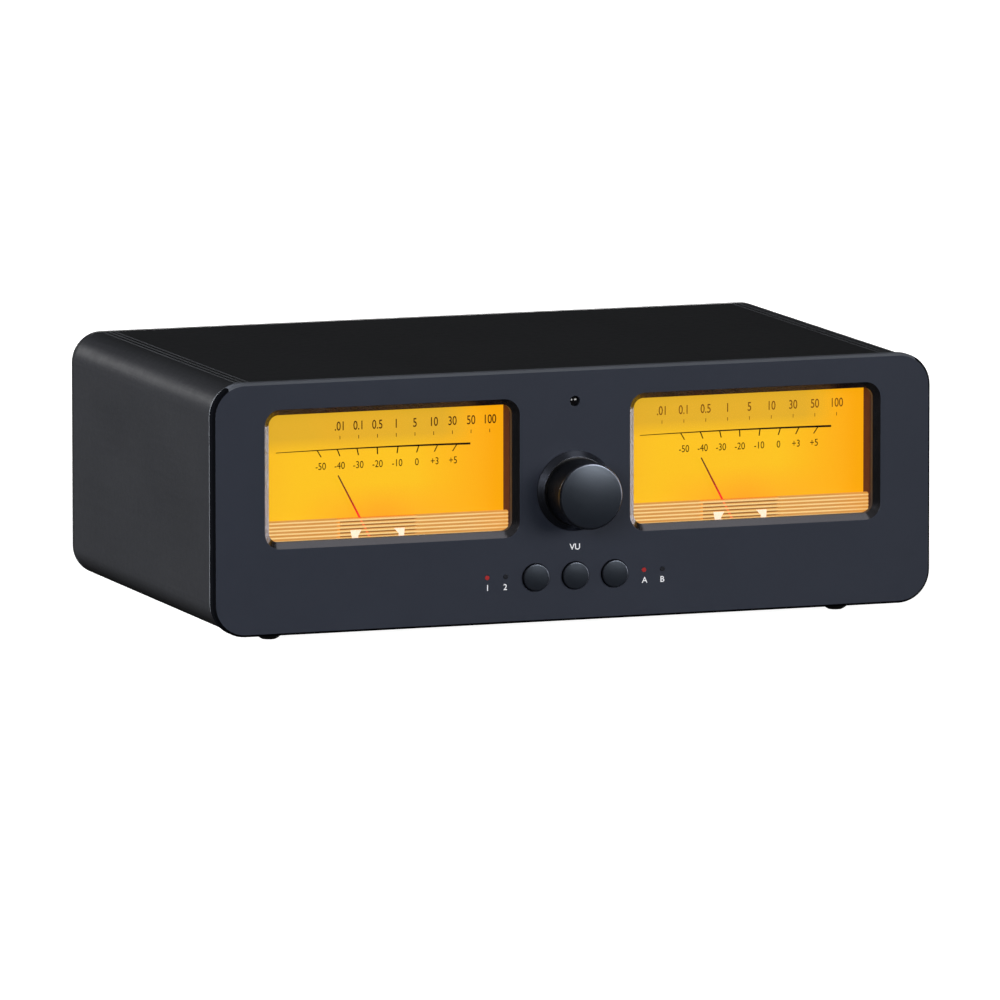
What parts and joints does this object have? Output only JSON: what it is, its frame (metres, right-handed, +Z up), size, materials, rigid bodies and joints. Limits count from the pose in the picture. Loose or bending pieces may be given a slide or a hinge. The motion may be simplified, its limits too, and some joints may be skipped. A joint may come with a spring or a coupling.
{
  "type": "integrated amplifier",
  "caption": "Low desktop stereo amplifier with two lit level meters, a central volume knob, round buttons and rear speaker terminals.",
  "frame": {"origin": "middle of the case's footprint, on the plane that the feet stand on", "axes": "+X to the right as seen from the front, +Y to the rear, +Z up"},
  "size_m": [0.26, 0.191, 0.0907],
  "materials": {
    "dark_anodised": "satin, dark blue-grey anodised",
    "sleeve_black": "satin, black anodised, brushed along its length",
    "knob_metal": "satin, black anodised, turned",
    "panel_black": "fine textured black",
    "zinc_steel": "zinc plated sheet",
    "screw_black": "black zinc",
    "screw_bright": "bright zinc",
    "black_plastic": "moulded, fine grain",
    "gloss_black_plastic": "moulded, glossy",
    "red_plastic": "moulded, glossy",
    "button_plastic": "painted, satin dark blue-grey",
    "white_plastic": "moulded, satin",
    "rubber_black": "moulded, matt",
    "meter_glass": "clear, polished",
    "dial_amber": "printed amber, lit from behind",
    "light_bar": "ribbed, lit amber",
    "needle_red": "painted red",
    "movement_dark": "moulded, dark brown",
    "board_green": "coated glass fibre board",
    "lamp_board": "white coated board with lamps",
    "pot_body": "plated body",
    "shaft_steel": "turned steel",
    "indicator": "red tinted light pipe",
    "sensor_window": "polished, infrared clear",
    "heatsink_metal": "black anodised",
    "capacitor_sleeve": "can in a dark blue shrink sleeve",
    "copper_winding": "enamelled copper wire",
    "relay_blue": "moulded case",
    "transformer_tape": "yellow winding tape over copper and steel",
    "wire_red": "insulated wire",
    "gold_plate": "gold plated, polished",
    "pin_metal": "nickel plated"
  },
  "bodies": {
    "chassis": {"front_plate": "dark_anodised", "case_sleeve": "sleeve_black", "rear_panel": "panel_black", "front_carrier": "black_plastic", "chassis_tray": "zinc_steel", "rubber_feet": "rubber_black", "tray_screws": "screw_black", "carrier_screws": "screw_bright", "plate_screws": "screw_bright", "rear_screws": "screw_black", "meter_housing_left": "black_plastic", "meter_housing_right": "black_plastic", "meter_glass_left": "meter_glass", "meter_glass_right": "meter_glass", "meter_dial_left": "dial_amber", "meter_dial_right": "dial_amber", "meter_light_bars": "light_bar", "meter_movements": "movement_dark", "meter_backlights": "lamp_board", "knob_collar": "knob_metal", "volume_control": "pot_body", "volume_nut": "screw_bright", "tact_switches": "black_plastic", "indicator_pipes": "indicator", "remote_window": "sensor_window", "remote_receiver": "gloss_black_plastic", "control_board": "board_green", "main_board": "board_green", "board_supports": "white_plastic", "heatsink": "heatsink_metal", "output_transistors": "black_plastic", "filter_capacitors": "capacitor_sleeve", "output_inductors": "copper_winding", "speaker_relays": "relay_blue", "toroid_transformer": "transformer_tape", "toroid_clamp": "zinc_steel", "wiring_looms": "wire_red", "phono_sockets": "gold_plate", "phono_insulators": "white_plastic", "power_inlet": "black_plastic", "inlet_pins": "pin_metal", "power_switch_frame": "black_plastic", "terminal_studs": "gold_plate", "terminal_bases": "black_plastic"},
    "needle_left": {"needle_left": "needle_red"},
    "needle_right": {"needle_right": "needle_red"},
    "volume": {"volume_knob": "knob_metal", "volume_shaft": "shaft_steel"},
    "button_left": {"button_left": "button_plastic"},
    "button_centre": {"button_centre": "button_plastic"},
    "button_right": {"button_right": "button_plastic"},
    "rocker": {"power_rocker": "gloss_black_plastic"},
    "terminal_cap_a1": {"terminal_cap_a1": "red_plastic"},
    "terminal_cap_a2": {"terminal_cap_a2": "gloss_black_plastic"},
    "terminal_cap_a3": {"terminal_cap_a3": "red_plastic"},
    "terminal_cap_a4": {"terminal_cap_a4": "gloss_black_plastic"},
    "terminal_cap_b1": {"terminal_cap_b1": "red_plastic"},
    "terminal_cap_b2": {"terminal_cap_b2": "gloss_black_plastic"},
    "terminal_cap_b3": {"terminal_cap_b3": "red_plastic"},
    "terminal_cap_b4": {"terminal_cap_b4": "gloss_black_plastic"}
  },
  "joints": [
    {"name": "needle_left_swing", "type": "hinge", "parent": "chassis", "child": "needle_left", "pos_m": [-0.0658, -0.0685, 0.0255], "axis": [0, 1, 0], "range_deg": [-20, 76], "stiffness_Nm_per_rad": 0.000002},
    {"name": "needle_right_swing", "type": "hinge", "parent": "chassis", "child": "needle_right", "pos_m": [0.0658, -0.0685, 0.0255], "axis": [0, 1, 0], "range_deg": [-20, 76], "stiffness_Nm_per_rad": 0.000002},
    {"name": "volume_turn", "type": "hinge", "parent": "chassis", "child": "volume", "pos_m": [0, -0.0785, 0.0487], "axis": [0, 1, 0], "range_deg": [-150, 150]},
    {"name": "button_left_press", "type": "slide", "parent": "chassis", "child": "button_left", "axis": [0, 1, 0], "range_m": [0, 0.0008], "stiffness_N_per_m": 400},
    {"name": "button_centre_press", "type": "slide", "parent": "chassis", "child": "button_centre", "axis": [0, 1, 0], "range_m": [0, 0.0008], "stiffness_N_per_m": 400},
    {"name": "button_right_press", "type": "slide", "parent": "chassis", "child": "button_right", "axis": [0, 1, 0], "range_m": [0, 0.0008], "stiffness_N_per_m": 400},
    {"name": "power_rock", "type": "hinge", "parent": "chassis", "child": "rocker", "pos_m": [-0.095, 0.0775, 0.066], "axis": [1, 0, 0], "range_deg": [-22, 0]},
    {"name": "terminal_cap_a1_unscrew", "type": "hinge", "parent": "chassis", "child": "terminal_cap_a1", "pos_m": [-0.01, 0.0886, 0.0566], "axis": [0, 1, 0], "range_deg": [0, 1080]},
    {"name": "terminal_cap_a2_unscrew", "type": "hinge", "parent": "chassis", "child": "terminal_cap_a2", "pos_m": [0.009, 0.0886, 0.0566], "axis": [0, 1, 0], "range_deg": [0, 1080]},
    {"name": "terminal_cap_a3_unscrew", "type": "hinge", "parent": "chassis", "child": "terminal_cap_a3", "pos_m": [0.028, 0.0886, 0.0566], "axis": [0, 1, 0], "range_deg": [0, 1080]},
    {"name": "terminal_cap_a4_unscrew", "type": "hinge", "parent": "chassis", "child": "terminal_cap_a4", "pos_m": [0.047, 0.0886, 0.0566], "axis": [0, 1, 0], "range_deg": [0, 1080]},
    {"name": "terminal_cap_b1_unscrew", "type": "hinge", "parent": "chassis", "child": "terminal_cap_b1", "pos_m": [-0.01, 0.0886, 0.03], "axis": [0, 1, 0], "range_deg": [0, 1080]},
    {"name": "terminal_cap_b2_unscrew", "type": "hinge", "parent": "chassis", "child": "terminal_cap_b2", "pos_m": [0.009, 0.0886, 0.03], "axis": [0, 1, 0], "range_deg": [0, 1080]},
    {"name": "terminal_cap_b3_unscrew", "type": "hinge", "parent": "chassis", "child": "terminal_cap_b3", "pos_m": [0.028, 0.0886, 0.03], "axis": [0, 1, 0], "range_deg": [0, 1080]},
    {"name": "terminal_cap_b4_unscrew", "type": "hinge", "parent": "chassis", "child": "terminal_cap_b4", "pos_m": [0.047, 0.0886, 0.03], "axis": [0, 1, 0], "range_deg": [0, 1080]}
  ]
}
